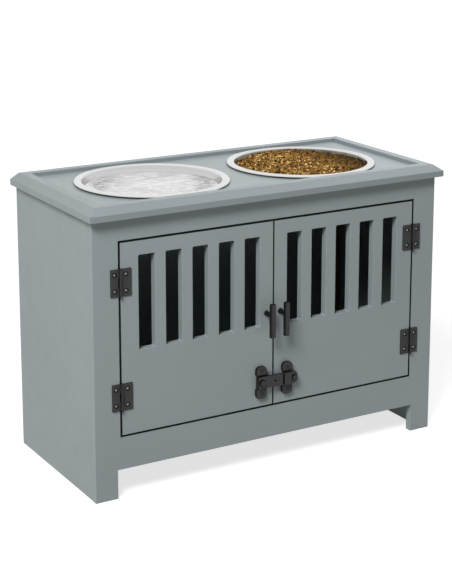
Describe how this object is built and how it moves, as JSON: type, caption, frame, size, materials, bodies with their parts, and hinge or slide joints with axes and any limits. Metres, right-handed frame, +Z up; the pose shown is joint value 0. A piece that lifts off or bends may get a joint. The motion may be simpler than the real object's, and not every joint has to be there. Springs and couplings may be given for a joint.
{
  "type": "elevated dog feeder",
  "caption": "Raised pet feeding station: a painted board cabinet with slotted doors on surface hinges, bar handles and a drop latch, and lift-out steel bowls in its bordered top.",
  "frame": {"origin": "on the floor, under the middle of the whole feeder's box, handles and top overhang included", "axes": "+X to the right as seen from the doors, +Y from the doors to the back panel, +Z up"},
  "size_m": [0.6, 0.2918, 0.4305],
  "materials": {
    "painted_board": "satin slate-grey paint on fibreboard",
    "bare_wood": "planed, bare",
    "dark_iron": "matt dark coating",
    "zinc_steel": "zinc plated",
    "stainless": "brushed inside, polished rim"
  },
  "bodies": {
    "cabinet": {"face_frame": "painted_board", "side_panel_left": "painted_board", "side_panel_right": "painted_board", "back_panel": "painted_board", "floor_panel": "painted_board", "top_deck": "painted_board", "top_border_front": "painted_board", "top_border_back": "painted_board", "top_border_left": "painted_board", "top_border_right": "painted_board", "door_stop_cleat": "painted_board", "floor_cleat_left": "bare_wood", "floor_cleat_right": "bare_wood", "corner_cleat_left": "bare_wood", "corner_cleat_right": "bare_wood", "frame_dowels": "bare_wood", "cleat_screws": "zinc_steel", "floor_screws": "zinc_steel", "back_screws": "zinc_steel", "top_brackets": "zinc_steel", "bracket_screws": "zinc_steel", "frame_leaf_upper_left": "dark_iron", "frame_leaf_lower_left": "dark_iron", "frame_leaf_upper_right": "dark_iron", "frame_leaf_lower_right": "dark_iron", "hinge_pin_upper_left": "dark_iron", "hinge_pin_lower_left": "dark_iron", "hinge_pin_upper_right": "dark_iron", "hinge_pin_lower_right": "dark_iron", "frame_leaf_screws": "dark_iron"},
    "left_door": {"door_left": "painted_board", "door_leaf_upper_left": "dark_iron", "door_leaf_lower_left": "dark_iron", "door_leaf_screws_left": "dark_iron", "handle_bar_left": "dark_iron", "handle_post_left": "dark_iron", "handle_screw_left": "zinc_steel", "latch_plate": "dark_iron", "latch_pivot": "dark_iron", "latch_plate_screws": "dark_iron"},
    "latch_arm": {"latch_arm": "dark_iron"},
    "right_door": {"door_right": "painted_board", "door_leaf_upper_right": "dark_iron", "door_leaf_lower_right": "dark_iron", "door_leaf_screws_right": "dark_iron", "handle_bar_right": "dark_iron", "handle_post_right": "dark_iron", "handle_screw_right": "zinc_steel", "keeper_plate": "dark_iron", "keeper_stud": "dark_iron", "keeper_plate_screws": "dark_iron"},
    "left_bowl": {"bowl_left": "stainless"},
    "right_bowl": {"bowl_right": "stainless"}
  },
  "joints": [
    {"name": "left_door_swing", "type": "hinge", "parent": "cabinet", "child": "left_door", "pos_m": [-0.2515, -0.12635, 0.23575], "axis": [0, 0, -1], "range_deg": [0, 170]},
    {"name": "right_door_swing", "type": "hinge", "parent": "cabinet", "child": "right_door", "pos_m": [0.2515, -0.12635, 0.23575], "axis": [0, 0, 1], "range_deg": [0, 170]},
    {"name": "latch_lift", "type": "hinge", "parent": "left_door", "child": "latch_arm", "pos_m": [-0.024, -0.13095, 0.1343], "axis": [0, -1, 0], "range_deg": [0, 100]},
    {"name": "left_bowl_lift", "type": "slide", "parent": "cabinet", "child": "left_bowl", "axis": [0, 0, 1], "range_m": [0, 0.08]},
    {"name": "right_bowl_lift", "type": "slide", "parent": "cabinet", "child": "right_bowl", "axis": [0, 0, 1], "range_m": [0, 0.08]}
  ],
  "couplings": [
    {"joint": "right_door_swing", "follows": "left_door_swing", "ratio": 1}
  ]
}
